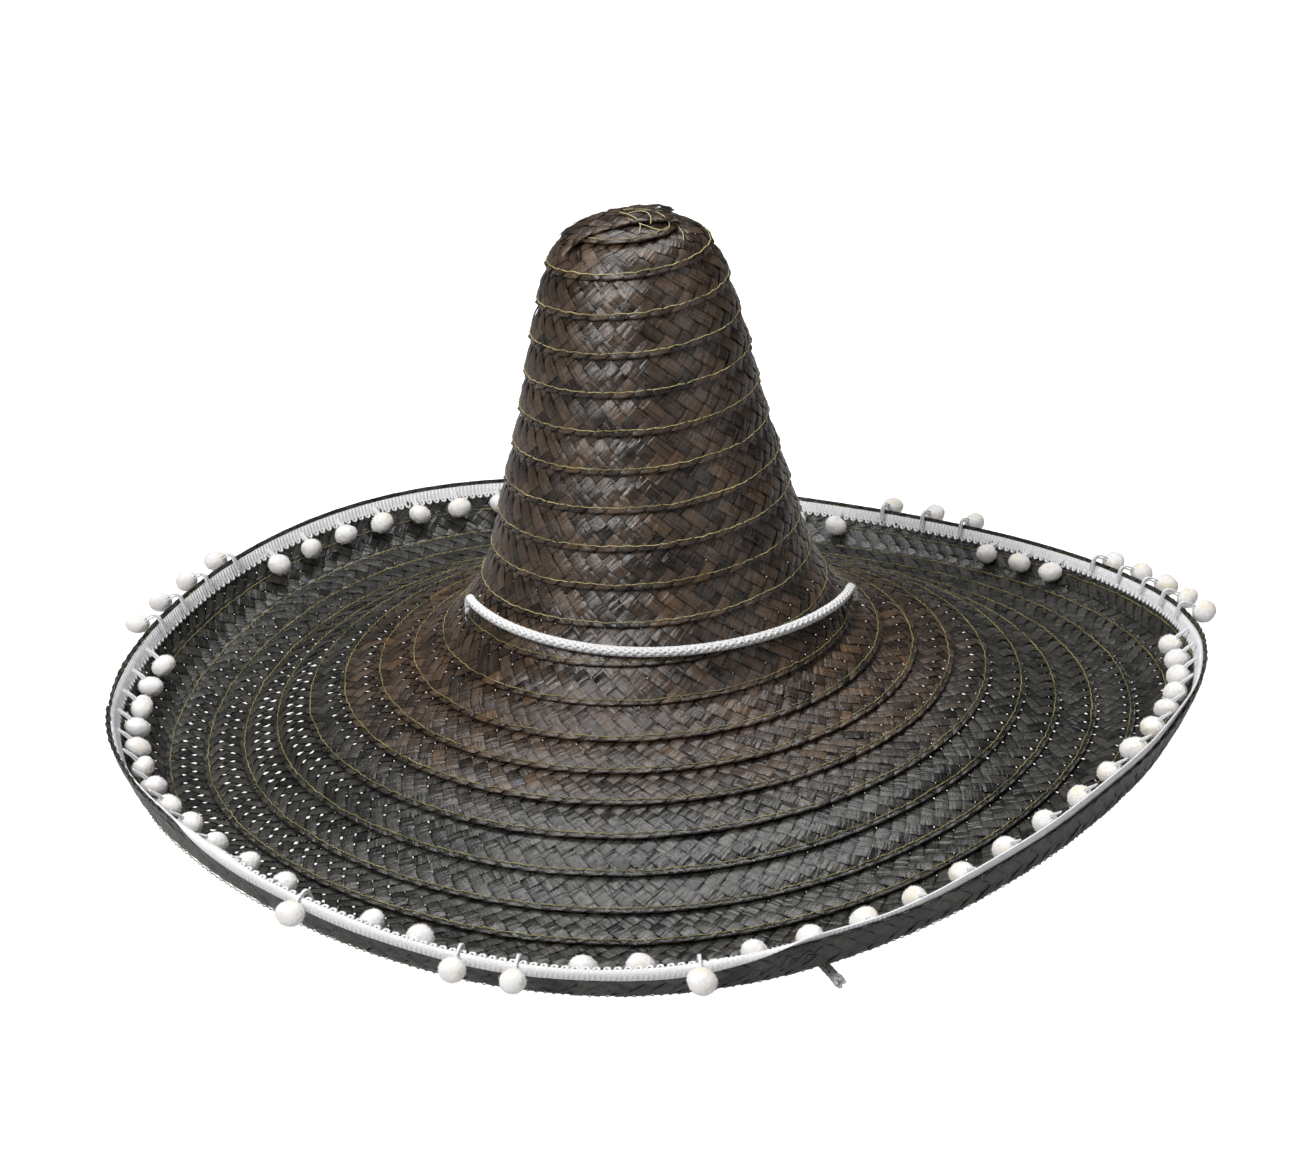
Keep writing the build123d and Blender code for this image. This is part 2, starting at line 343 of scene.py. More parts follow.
def strandTree():  # strands wound both ways round a path, crossing over and under each other
    tree, given = newTree("windStrands", [("Strands", "Int"), ("Ring radius", "Float"),
        ("Strand radius", "Float"), ("Lay", "Float"), ("Crossing", "Float"), ("Flare", "Float"),
        ("Step", "Float"), ("Material", "Material")])
    path = addNode(tree, "GeometryNodeMeshToCurve", {"Mesh": given.outputs["Geometry"]})
    even = addNode(tree, "GeometryNodeResampleCurve", {"Curve": path, "Length": given.outputs["Step"]},
        mode="LENGTH")
    copies = addNode(tree, "GeometryNodeDuplicateElements",
        {"Geometry": even, "Amount": given.outputs["Strands"]}, domain="SPLINE")
    number = copies.outputs["Duplicate Index"]
    way = reckon(tree, "SUBTRACT", reckon(tree, "MULTIPLY", reckon(tree, "MODULO", number, 2.0), 2.0), 1.0)
    along = addNode(tree, "GeometryNodeSplineParameter")
    turned = reckon(tree, "MULTIPLY", reckon(tree, "DIVIDE", along.outputs["Length"], given.outputs["Lay"]),
        way)
    pair = reckon(tree, "FLOOR", reckon(tree, "DIVIDE", number, 2.0))
    startTurn = reckon(tree, "DIVIDE", pair, reckon(tree, "MULTIPLY", given.outputs["Strands"], 0.5))
    angle = reckon(tree, "MULTIPLY", reckon(tree, "ADD", turned, startTurn), tau)
    crossings = reckon(tree, "MULTIPLY", along.outputs["Length"],
        reckon(tree, "DIVIDE", given.outputs["Strands"], given.outputs["Lay"]))
    swing = reckon(tree, "MULTIPLY", reckon(tree, "SINE", reckon(tree, "MULTIPLY", crossings, pi)), way)
    reach = reckon(tree, "ADD", reckon(tree, "MULTIPLY", swing, given.outputs["Crossing"]),
        given.outputs["Ring radius"])
    flared = addNode(tree, "ShaderNodeMapRange", {"Value": along.outputs["Factor"], "From Min": 0.982,
        "From Max": 0.995, "To Min": 1.0, "To Max": given.outputs["Flare"]})
    wide = reckon(tree, "MULTIPLY", reach, flared)
    normal, tangent = addNode(tree, "GeometryNodeInputNormal"), addNode(tree, "GeometryNodeInputTangent")
    binormal = reckonVector(tree, "CROSS_PRODUCT", normal, tangent)
    outA = reckonVector(tree, "SCALE", normal, reckon(tree, "MULTIPLY", wide, reckon(tree, "COSINE", angle)))
    outB = reckonVector(tree, "SCALE", binormal, reckon(tree, "MULTIPLY", wide, reckon(tree, "SINE", angle)))
    moved = addNode(tree, "GeometryNodeSetPosition", {"Geometry": copies,
        "Offset": reckonVector(tree, "ADD", outA, outB)})
    ring = addNode(tree, "GeometryNodeCurvePrimitiveCircle",
        {"Resolution": 6, "Radius": given.outputs["Strand radius"]})
    strands = addNode(tree, "GeometryNodeCurveToMesh",
        {"Curve": moved, "Profile Curve": ring, "Fill Caps": True})
    return endTree(tree, addNode(tree, "GeometryNodeSetShadeSmooth",
        {"Geometry": strands, "Shade Smooth": True}), given.outputs["Material"])


windStrands = strandTree()


def layCord(name, node, route, flare):
    line = nurbsLine(np.array(route) * mm)
    line[:, 2] = np.maximum(line[:, 2], 3.0 * mm)
    made = grow(name, pathMesh([line]), windStrands, Strands=cord["strands"], Ring_radius=1.62 * mm,
        Strand_radius=0.88 * mm, Lay=cord["lay"] * mm, Crossing=0.16 * mm, Flare=flare, Step=1.1 * mm,
        Material=cordYarn)
    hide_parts(node)
    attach(made, bodyOf[node])


layCord("braided_chin_cord", "chin_cord_front", chinRoute, 1.0)
layCord("braided_tail_right", "cord_tail_right", rightTailRoute,
    cord["flare"])
layCord("braided_tail_left", "cord_tail_left", leftTailRoute,
    cord["flare"])
print("cords laid")

# the hat's surface

hat = {"strawThickness": 3.0, "waveStart": 100.0, "edgeStart": 240.0, "rimRadius": 284.0,
    "crownLine": [(89.2, 77.7), (81.5, 94), (77, 110), (68.5, 143), (60, 176), (53.5, 208), (47.5, 232),
    (43, 247), (36.5, 258.5), (26, 266), (13, 270), (0, 271)],
    "brimLine": [(89.2, 77.7), (98, 64.5), (110.5, 51.5), (127, 41.5), (160, 29.5), (192, 15.5), (209, 6.5),
    (229, 1.5), (249, 0), (262, 1.5), (270.5, 5.5), (277, 12), (281, 19.5), (284, 28)],
    "brimWaves": [(2, 11.0, -30.0), (3, 6.5, -7.0), (4, 3.5, 41.0)],
    "edgeWaves": [(1, 4.8, -108.0), (2, 4.0, -8.0), (3, 6.0, -39.0)]}


def waveHeight(angle, radius):  # angle in radians, millimetres out
    brimShare = np.clip((radius - hat["waveStart"]) / (hat["rimRadius"] - hat["waveStart"]), 0, None) ** 2
    edgeShare = np.clip((radius - hat["edgeStart"]) / (hat["rimRadius"] - hat["edgeStart"]), 0, None) ** 2
    return brimShare * sum(h * np.cos(n * (angle - radians(c))) for n, h, c in hat["brimWaves"]) + \
        edgeShare * sum(h * np.cos(n * (angle - radians(c))) for n, h, c in hat["edgeWaves"])


wholeTurn = np.radians(np.arange(360))
standHeight = hat["strawThickness"] / 2 - min(float(np.min(z + waveHeight(wholeTurn, r)))
    for r, z in hat["brimLine"])


def smoothThrough(x, y):  # a natural cubic spline through the points, and its slope
    x, y = np.asarray(x, float), np.asarray(y, float)
    n, h = len(x), np.diff(x)
    a = np.eye(n)
    b = np.zeros(n)
    for i in range(1, n - 1):
        a[i, i - 1:i + 2] = h[i - 1], 2 * (h[i - 1] + h[i]), h[i]
        b[i] = 6 * ((y[i + 1] - y[i]) / h[i] - (y[i] - y[i - 1]) / h[i - 1])
    m = np.linalg.solve(a, b)

    def at(t, slope=False):
        i = np.clip(np.searchsorted(x, t) - 1, 0, n - 2)
        w, u, v = h[i], x[i + 1] - t, t - x[i]
        if slope:
            return (m[i + 1] * v ** 2 - m[i] * u ** 2) / (2 * w) + (y[i + 1] - y[i]) / w \
                - w * (m[i + 1] - m[i]) / 6
        return (m[i] * u ** 3 + m[i + 1] * v ** 3) / (6 * w) + (y[i] / w - m[i] * w / 6) * u \
            + (y[i + 1] / w - m[i + 1] * w / 6) * v
    return at


profile = np.array(hat["brimLine"][::-1] + hat["crownLine"][1:], float)
profileAlong = np.concatenate([[0], np.cumsum(np.hypot(*np.diff(profile, axis=0).T))])
profileLength = profileAlong[-1]
radiusAt, heightAt = smoothThrough(profileAlong, profile[:, 0]), smoothThrough(profileAlong, profile[:, 1])


# distance from the rim's edge up the hat; gives the place and the outward direction
def hatSurface(distance, angle):
    distance = np.clip(distance, -4, profileLength - 0.6)
    radius, height = np.maximum(radiusAt(distance), 0.4), heightAt(distance) + standHeight
    place = np.stack([radius * np.cos(angle), radius * np.sin(angle), height + waveHeight(angle, radius)], -1)
    dr, dz = radiusAt(distance, True), heightAt(distance, True)
    size = np.hypot(dr, dz)
    outward = np.stack([dz / size * np.cos(angle), dz / size * np.sin(angle), -dr / size], -1)
    return place, outward


# sewn plait

plait = {"halfBands": 5, "spacing": 9.8, "crownSpacing": 9.4, "firstTurn": -1.56, "lastTurn": 22.75,
    "lap": 0.95, "stitchInset": 2.75, "undulation": 0.5, "crown": 0.3, "lipBulge": 1.6, "stepsPerTurn": 90}
sewnRows = {"turns": (-0.7, 11.0, 23.05), "distances": (0.0, 233.07, profileLength), "turnShift": 0.044}


def smooth(x, low, high):
    t = np.clip((x - low) / (high - low), 0, 1)
    return t * t * (3 - 2 * t)


# degrees and mm: where the straw stops short and the trim stands above it
rimCut = {"middle": 250, "deep": 0.8, "deepWidth": 40, "shallow": 7.0, "from": 276, "to": 350}


def edgeDistance(turn):
    place = np.degrees(tau * (np.asarray(turn) + sewnRows["turnShift"])) % 360
    short = rimCut["shallow"] * smooth(place, rimCut["from"], rimCut["from"] + 25) \
        * smooth(-place, -rimCut["to"], -rimCut["to"] + 25)
    short = short + rimCut["deep"] * np.exp(-((place - rimCut["middle"]) / rimCut["deepWidth"]) ** 2)
    return np.maximum(short, np.interp(turn, sewnRows["turns"], sewnRows["distances"]) - plait["stitchInset"])


# the surface the flat plait is laid on: one long spiral strip, each turn lapped over the one outside it
def plaitGuide():
    turns = np.arange(plait["firstTurn"], plait["lastTurn"] + 0.001, 1 / plait["stepsPerTurn"])
    across = np.array([0, 1, 2, 2.75, 3.5, 4.5, 6, 8, 10.5, 13, 15, 17, 18.5, 20, 22, 24.5])
    angle = tau * (turns + sewnRows["turnShift"])
    edge, nextEdge = edgeDistance(turns), edgeDistance(turns + 1)
    middle = radiusAt(np.clip(edge + 12, 0, profileLength))
    along = np.concatenate([[0], np.cumsum((middle[1:] + middle[:-1]) / 2 * np.diff(angle))])
    u, v = np.meshgrid(turns, across, indexing="ij")
    a, pitch = angle[:, None] + 0 * v, (nextEdge - edge)[:, None]
    place, outward = hatSurface(edge[:, None] + v, a)
    over = smooth(u, -0.6, -0.35)  # the rim turn has nothing under it
    height = plait["lap"] * (over - 2 * over * smooth(v, 4.5, np.maximum(pitch - 1.0, 8)))
    height += (1 - over) * np.where(pitch < 14, 0.2 + 0.5 * smooth(pitch, 7, 14), 0.7)
    height += 0.55 * np.sin(pi * np.clip((v - 2.75) / 16, 0, 1)) - 0.35 * np.exp(-((v - 2.75) / 0.9) ** 2) \
        + 0.35 * np.exp(-(v / 1.4) ** 2)
    height += 0.35 * np.sin(a * 31 + 5 * np.sin(a * 7)) * np.exp(-(v / 3.0) ** 2)
    place = place + outward * height[..., None]
    n, m = u.shape
    index = np.arange(n * m).reshape(n, m)
    faces = np.stack([index[:-1, :-1], index[1:, :-1], index[1:, 1:], index[:-1, 1:]], -1).reshape(-1, 4)
    mesh = newMesh("plaitGuide", place.reshape(-1, 3) * mm, faces)
    giveUv(mesh, "laid", np.stack([along[:, None] + 0 * v, v], -1).reshape(-1, 2) * mm)
    giveValue(mesh, "outward", outward.reshape(-1, 3), "FLOAT_VECTOR")
    giveValue(mesh, "turn", u.ravel())
    openness = np.where(np.cos(a) < 0, 1, 0.55) * smooth(np.abs(np.cos(a - radians(12))), 0.5, 0.95) \
        * smooth(u, 0.2, 1.2) * smooth(-u, -8.5, -5.5) * (0.55 + 0.45 * np.sin(u * 2.3 + a * 1.7))
    giveValue(mesh, "open", (0.03 + 0.97 * openness).ravel() * smooth(-u, -11, -10).ravel())
    return mesh, turns, along


guide, guideTurns, guideAlong = plaitGuide()


def alongAt(turn):
    return float(np.interp(turn, guideTurns, guideAlong))


# one straw of the flat plait, edge to edge, up over two and down under two
def strawMesh(rising, spacing, first):
    width, count = spacing / sqrt(2), plait["halfBands"]
    straight = [(k / 2, 0) for k in range(2, 2 * count - 1)]
    stations = [(0, 1), (0.2, 0.9), (0.5, 0.5)] + straight + [(count - 0.5, 0.5), (count, 1)]
    section = [(-0.5, 0), (0, 1), (0.5, 0), (0, -1)]
    points, uv, side = [], [], []
    for k, (station, shear) in enumerate(stations):
        for q, bulge in section:
            p = (station + shear * q) * width
            wave = np.clip(1.45 * cos(tau * (p / width - first) / 4), -1, 1)
            taper = 0.15 if k == 0 else 0.75 if k == 1 else 1
            x, y = (p + q * width) / sqrt(2), (p - q * width) / sqrt(2)
            z = wave * taper * plait["undulation"] * (1 if rising else -1) \
                + bulge * plait["crown"] * (1 + plait["lipBulge"] * np.exp(-(p / 3.2) ** 2))
            points.append(((x if rising else -x) * mm, y * mm, z * mm))
            uv.append((p * mm, q * width * mm))
            side.append(sqrt(2) * q * width * mm * (1 if rising else -1))
    faces = [[4 * k + j, 4 * k + 4 + j, 4 * k + 4 + (j + 1) % 4,
        4 * k + (j + 1) % 4] for k in range(len(stations) - 1) for j in range(4)]
    last = 4 * (len(stations) - 1)
    faces += [[0, 1, 2, 3], [last + 3, last + 2, last + 1, last]]
    if not rising:
        faces = [f[::-1] for f in faces]
    mesh = newMesh("straw", points, faces)
    giveUv(mesh, "straw", uv)
    giveValue(mesh, "side", side)
    sharp = mesh.attributes.new("sharp_edge", "BOOLEAN", "EDGE")
    for edge in mesh.edges:
        a, b = edge.vertices
        sharp.data[edge.index].value = a % 4 == b % 4 and a % 2 == 0
    return mesh


def asSource(name, mesh):
    made = bpy.data.objects.new(name, mesh)
    bpy.context.scene.collection.objects.link(made)
    sources.append(made)
    return made


sources = []  # objects that only feed the trees, removed at the end


# lays flat geometry on a guide by the guide's own map
def wrap(tree, geometry, guideGeometry, along, across, height):
    where = addNode(tree, "ShaderNodeCombineXYZ", {"X": along, "Y": across})
    laid = addNode(tree, "GeometryNodeInputNamedAttribute", {"Name": "laid"}, data_type="FLOAT_VECTOR")
    outward = addNode(tree, "GeometryNodeInputNamedAttribute", {"Name": "outward"}, data_type="FLOAT_VECTOR")
    place = addNode(tree, "GeometryNodeSampleUVSurface",
        {"Mesh": guideGeometry, "Value": addNode(tree, "GeometryNodeInputPosition"), "UV Map": laid,
        "Sample UV": where}, data_type="FLOAT_VECTOR")
    facing = addNode(tree, "GeometryNodeSampleUVSurface",
        {"Mesh": guideGeometry, "Value": outward, "UV Map": laid, "Sample UV": where},
        data_type="FLOAT_VECTOR")
    away = reckonVector(tree, "SCALE", facing, height)
    target = reckonVector(tree, "ADD", place, away)
    off = addNode(tree, "FunctionNodeBooleanMath", {0: place.outputs["Is Valid"]}, operation="NOT")
    held = addNode(tree, "GeometryNodeDeleteGeometry", {"Geometry": geometry, "Selection": off},
        domain="POINT")
    return addNode(tree, "GeometryNodeSetPosition", {"Geometry": held, "Position": target})


def sampled(tree, guideGeometry, name, along, across):
    return addNode(tree, "GeometryNodeSampleUVSurface",
        {"Mesh": guideGeometry, "Value": addNode(tree, "GeometryNodeInputNamedAttribute", {"Name": name},
        data_type="FLOAT"), "UV Map": addNode(tree, "GeometryNodeInputNamedAttribute", {"Name": "laid"},
        data_type="FLOAT_VECTOR"), "Sample UV": addNode(tree, "ShaderNodeCombineXYZ",
        {"X": along, "Y": across})}, data_type="FLOAT")


def plaitTree():
    tree, given = newTree("sewnPlait", [("Rising straw", "Object"), ("Falling straw", "Object"),
        ("First", "Int"), ("Count", "Int"), ("Spacing", "Float"), ("Opening", "Float"),
        ("Unevenness", "Float"), ("Seed", "Int"), ("Material", "Material")])
    surface = given.outputs["Geometry"]
    start = reckon(tree, "MULTIPLY", given.outputs["First"], given.outputs["Spacing"])
    line = addNode(tree, "GeometryNodeMeshLine", {"Count": given.outputs["Count"],
        "Start Location": addNode(tree, "ShaderNodeCombineXYZ", {"X": start}),
        "Offset": addNode(tree, "ShaderNodeCombineXYZ", {"X": given.outputs["Spacing"]})}, mode="OFFSET")
    number = reckon(tree, "ADD", addNode(tree, "GeometryNodeInputIndex"), given.outputs["First"])
    joined = tree.nodes.new("GeometryNodeJoinGeometry")
    for k, label in enumerate(("Falling straw", "Rising straw")):
        one = addNode(tree, "GeometryNodeObjectInfo", {"Object": given.outputs[label], "As Instance": True})
        placed = addNode(tree, "GeometryNodeInstanceOnPoints",
            {"Points": line, "Instance": one.outputs["Geometry"]})
        seed = reckon(tree, "ADD", given.outputs["Seed"], float(k))
        for name in ("dye", "lift"):
            seed = reckon(tree, "ADD", seed, 17.0)
            chance = addNode(tree, "FunctionNodeRandomValue",
                {"ID": number, "Seed": seed, "Min": 0.0, "Max": 1.0}, data_type="FLOAT")
            placed = addNode(tree, "GeometryNodeStoreNamedAttribute",
                {"Geometry": placed, "Name": name, "Value": chance}, data_type="FLOAT", domain="INSTANCE")
        tree.links.new(placed.outputs[0], joined.inputs[0])
    flat = addNode(tree, "GeometryNodeRealizeInstances", {"Geometry": joined})
    parts = addNode(tree, "ShaderNodeSeparateXYZ", {0: addNode(tree, "GeometryNodeInputPosition")})
    side = addNode(tree, "GeometryNodeInputNamedAttribute", {"Name": "side"}, data_type="FLOAT")
    lift = addNode(tree, "GeometryNodeInputNamedAttribute", {"Name": "lift"}, data_type="FLOAT")
    opened = sampled(tree, surface, "open", parts.outputs["X"], parts.outputs["Y"])
    loose = addNode(tree, "ShaderNodeMapRange", {"Value": lift, "From Min": 0.0, "From Max": 1.0,
        "To Min": 0.55, "To Max": 1.35})
    narrow = reckon(tree, "MULTIPLY", reckon(tree, "MULTIPLY", opened, given.outputs["Opening"]), loose)
    pulled = reckon(tree, "MULTIPLY", side, narrow)
    wander = reckon(tree, "MULTIPLY", reckon(tree, "SUBTRACT", lift, 0.5), 0.7 * mm)
    along = reckon(tree, "ADD", reckon(tree, "SUBTRACT", parts.outputs["X"], pulled), wander)
    turn = sampled(tree, surface, "turn", along, parts.outputs["Y"])
    crumple = addNode(tree, "ShaderNodeTexNoise",
        {"Vector": reckonVector(tree, "MULTIPLY", addNode(tree, "GeometryNodeInputPosition"), (1, 1, 0)),
        "Scale": 120.0, "Detail": 2.0})
    rumple = reckon(tree, "MULTIPLY", reckon(tree, "SUBTRACT", crumple.outputs[0], 0.5),
        given.outputs["Unevenness"])
    bold = addNode(tree, "ShaderNodeMapRange", {"Value": lift, "To Min": 0.8, "To Max": 1.3})
    height = reckon(tree, "ADD", reckon(tree, "MULTIPLY", parts.outputs["Z"], bold), rumple)
    kept = addNode(tree, "GeometryNodeStoreNamedAttribute",
        {"Geometry": flat, "Name": "turn", "Value": turn}, data_type="FLOAT", domain="POINT")
    return endTree(tree, wrap(tree, kept, surface, along, parts.outputs["Y"], height),
        given.outputs["Material"])


sewnPlait = plaitTree()
strawKinds = {kind: [asSource("straw_" + kind + way, strawMesh(rising, spacing, first)) for way,
    rising in (("_rising", True), ("_falling", False))] for kind, spacing,
    first in (("brim", plait["spacing"], -0.5), ("crown", plait["crownSpacing"], 0.5))}


def layPlait(name, kind, fromTurn, toTurn, opening, node):
    spacing = (plait["spacing"] if kind == "brim" else plait["crownSpacing"]) * mm
    first, last = int(alongAt(fromTurn) * mm / spacing) + 1, int(alongAt(toTurn) * mm / spacing)
    made = grow(name, guide.copy(), sewnPlait, Rising_straw=strawKinds[kind][0],
        Falling_straw=strawKinds[kind][1], First=first, Count=last - first + 1, Spacing=spacing,
        Opening=opening, Unevenness=0.9 * mm, Seed=4, Material=straw)
    for spare in ("side", "lift"):
        made.data.attributes.remove(made.data.attributes[spare])
    if node:
        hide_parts(node)
    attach(made, bodyOf["brim_shell"])
    print(name, len(made.data.polygons), "faces")
    return made


layPlait("brim_plait_rim", "brim", -1.53, 1.6, 0.16, "brim_shell")
layPlait("brim_plait_outer", "brim", 1.6, 5.3, 0.16, "brim_shell")
layPlait("brim_plait_inner", "crown", 5.29, 11.2, 0.11, "brim_shell")
layPlait("crown_plait", "crown", 11.2, 22.7, 0.1, "crown_shell")
print("plait laid")

# stitching

stitch = {"spacing": 3.9, "length": 4.3, "radius": 0.24, "zigzag": 6.0, "above": 1.2,
    "below": -2.3}


def stitchMesh():
    rings = [(-0.5, -0.55), (-0.22, 0.05), (0.22, 0.05), (0.5, -0.55)]
    points = [(x * stitch["length"] * mm, stitch["radius"] * cos(tau * j / 5) * mm,
        (z + stitch["radius"] * sin(tau * j / 5)) * mm) for x, z in rings for j in range(5)]
    faces = [[5 * k + j, 5 * k + (j + 1) % 5, 5 * k + 5 + (j + 1) % 5,
        5 * k + 5 + j] for k in range(3) for j in range(5)] + [[4, 3, 2, 1, 0], [15, 16, 17, 18, 19]]
    mesh = newMesh("stitch", points, [f[::-1] for f in faces])
    giveUv(mesh, "straw", [(p[0], j % 5 / 5 * mm) for j, p in enumerate(points)])
    return mesh


def stitchTree():
    tree, given = newTree("stitchLine", [("Stitch", "Object"), ("First", "Int"), ("Count", "Int"),
        ("Spacing", "Float"), ("Inset", "Float"), ("Height", "Float"), ("Zigzag", "Float"),
        ("Wander", "Float"), ("Seed", "Int"), ("Material", "Material")])
    surface = given.outputs["Geometry"]
    start = reckon(tree, "MULTIPLY", given.outputs["First"], given.outputs["Spacing"])
    line = addNode(tree, "GeometryNodeMeshLine", {"Count": given.outputs["Count"],
        "Start Location": addNode(tree, "ShaderNodeCombineXYZ", {"X": start, "Y": given.outputs["Inset"]}),
        "Offset": addNode(tree, "ShaderNodeCombineXYZ", {"X": given.outputs["Spacing"]})}, mode="OFFSET")
    number = addNode(tree, "GeometryNodeInputIndex")
    way = reckon(tree, "SUBTRACT", reckon(tree, "MODULO", number, 2.0), 0.5)
    chance = addNode(tree, "FunctionNodeRandomValue", {"ID": number, "Seed": given.outputs["Seed"],
        "Min": 0.3, "Max": 1.7}, data_type="FLOAT")
    turned = reckon(tree, "MULTIPLY", reckon(tree, "MULTIPLY", way, given.outputs["Zigzag"]), chance)
    placed = addNode(tree, "GeometryNodeInstanceOnPoints",
        {"Points": line, "Instance": addNode(tree, "GeometryNodeObjectInfo",
        {"Object": given.outputs["Stitch"], "As Instance": True}).outputs["Geometry"],
        "Rotation": addNode(tree, "ShaderNodeCombineXYZ", {"Z": turned})})
    flat = addNode(tree, "GeometryNodeRealizeInstances", {"Geometry": placed})
    parts = addNode(tree, "ShaderNodeSeparateXYZ", {0: addNode(tree, "GeometryNodeInputPosition")})
    drift = addNode(tree, "ShaderNodeTexNoise",
        {"Vector": addNode(tree, "ShaderNodeCombineXYZ", {"X": parts.outputs["X"]}), "Scale": 55.0,
        "Detail": 1.0})
    aside = reckon(tree, "MULTIPLY", reckon(tree, "SUBTRACT", drift.outputs[0], 0.5), given.outputs["Wander"])
    across = reckon(tree, "ADD", parts.outputs["Y"], aside)
    height = reckon(tree, "ADD", parts.outputs["Z"], given.outputs["Height"])
    return endTree(tree, wrap(tree, flat, surface, parts.outputs["X"], across, height),
        given.outputs["Material"])


stitchLine = stitchTree()
oneStitch = asSource("stitch", stitchMesh())


def sewRows(name, fromTurn, toTurn, height, thread):
    first, last = int(alongAt(fromTurn) / stitch["spacing"]) + 1, int(alongAt(toTurn) / stitch["spacing"])
    made = grow(name, guide.copy(), stitchLine, Stitch=oneStitch, First=first, Count=last - first,
        Spacing=stitch["spacing"] * mm, Inset=plait["stitchInset"] * mm, Height=height * mm,
        Zigzag=radians(2 * stitch["zigzag"]), Wander=2.2 * mm, Seed=9, Material=thread)
    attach(made, bodyOf["brim_shell"])
    print(name, len(made.data.polygons), "faces")


for side, height in (("top", stitch["above"]), ("under", stitch["below"])):
    sewRows("brim_stitching_outer_" + side, -1.5 if side == "top" else 0.45, 4.0, height, stitchThread)
    sewRows("brim_stitching_inner_" + side, 4.0, 11.2, height, stitchThread)
    sewRows("crown_stitching_" + side, 11.2, 22.6, height, crownThread)
print("stitching sewn")

# crown top

tip = {"low": (-37, -15.5), "high": (23, 9.0), "turn": 8.0, "above": 2.9}


def tipGuide():  # the plait's end, folded flat across the top of the crown
    x, y = np.meshgrid(np.linspace(0, 60, 31), np.linspace(0, 23.5, 13), indexing="ij")
    turn = radians(tip["turn"])
    px, py = x + tip["low"][0], y + tip["low"][1]
    wide = px * cos(turn) - py * sin(turn)
    deep = px * sin(turn) + py * cos(turn)
    table = np.linspace(profileLength - 75, profileLength, 80)
    away = np.hypot(wide, deep)
    height = np.interp(away, radiusAt(table)[::-1], heightAt(table)[::-1]) + standHeight
    rise = tip["above"] + 0.8 * np.sin(px / 9) + 1.2 * smooth(away, 15, 40)
    place = np.stack([wide, deep, height + rise], -1)
    gx, gy = np.gradient(place[..., 2], x[:, 0], y[0])
    outward = np.stack([-gx, -gy, np.ones_like(gx)], -1)
    outward /= np.linalg.norm(outward, axis=-1, keepdims=True)
    n, m = x.shape
    index = np.arange(n * m).reshape(n, m)
    faces = np.stack([index[:-1, :-1], index[1:, :-1], index[1:, 1:], index[:-1, 1:]], -1).reshape(-1, 4)
    mesh = newMesh("tipGuide", place.reshape(-1, 3) * mm, faces)
    giveUv(mesh, "laid", np.stack([x, y], -1).reshape(-1, 2) * mm)
    giveValue(mesh, "outward", outward.reshape(-1, 3), "FLOAT_VECTOR")
    giveValue(mesh, "turn", np.full(n * m, 20.0))
    giveValue(mesh, "open", np.full(n * m, 0.2))
    return mesh


tipSurface = tipGuide()
made = grow("crown_plait_end", tipSurface.copy(), sewnPlait, Rising_straw=strawKinds["crown"][0],
    Falling_straw=strawKinds["crown"][1], First=0, Count=7, Spacing=plait["crownSpacing"] * mm, Opening=0.1,
    Unevenness=1.6 * mm, Seed=31, Material=straw)
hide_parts("crown_tip")
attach(made, bodyOf["crown_tip"])

# loose ends: threads and a straw fibre on the crown, a frayed tuft at the front edge

looseEnds = {"threads": [[(-4, -2, 4.6), (6, -4, 5.6), (15, -8, 5.0), (19, -14, 3.0), (16, -19, 1.6),
    (6, -17, 2.4), (-2, -12, 3.6)], [(-6, -5, 4.6), (0, -10, 4.6), (5, -16, 2.8), (3, -21, 1.2)],
    [(18, -4, 3.2), (24, -12, 1.6), (25, -19, 1.2), (23, -26, 1.0)],
    [(-2, -8, 4.4), (4, -7, 6.0), (10, -11, 5.2), (9, -16, 3.0)]],
    "fibres": [[(-3, -2, 3.4), (5, -4, 6.6), (14, -5, 8.2), (21, -6, 7.2)],
    [(-1, -3, 3.4), (8, -6, 5.4), (15, -8, 6.4)]], "tuftAngle": 280.5,
    "tuft": [(-0.6, 4.0), (0.2, 7.0), (0.9, 5.0), (1.6, 8.0), (2.3, 4.5)]}


def aboveCrown(x, y, lift):
    table = np.linspace(profileLength - 75, profileLength, 80)
    return x * mm, y * mm, (float(np.interp(sqrt(x * x + y * y), radiusAt(table)[::-1],
        heightAt(table)[::-1])) + standHeight + lift) * mm


def layLoose(name, lines, radius, material):
    made = grow(name, pathMesh(lines), windStrands, Strands=1, Ring_radius=0.0, Strand_radius=radius * mm,
        Lay=9 * mm, Crossing=0.0, Flare=1.0, Step=0.9 * mm, Material=material)
    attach(made, bodyOf["brim_shell"])


layLoose("loose_threads", [nurbsLine([aboveCrown(*p) for p in line], 8) for line in looseEnds["threads"]],
    0.2, looseThread)
tuft = []
for step, long in looseEnds["tuft"]:
    spot = radians(looseEnds["tuftAngle"] + step)
    ends = [hatSurface(np.array(d), np.array(spot + lean)) for d,
        lean in ((9.0, 0.0), (4.0, 0.004), (0.0, 0.012))]
    tuft.append([tuple((ends[0][0] - ends[0][1] * 2.4) * mm), tuple((ends[1][0] - ends[1][1] * 3.4) * mm),
        tuple((ends[2][0] - ends[2][1] * long) * mm)])
layLoose("loose_straw_fibres", [nurbsLine([aboveCrown(*p) for p in line],
    8) for line in looseEnds["fibres"]] + tuft, 0.35, straw)
print("loose ends laid")

# gimp trim

trim = {"inset": 6.5, "width": 8.0, "spacing": 4.7, "yarn": 0.62, "offStraw": 1.9, "rolled": 12.0,
    "rolledFrom": 205, "rolledTo": 292}


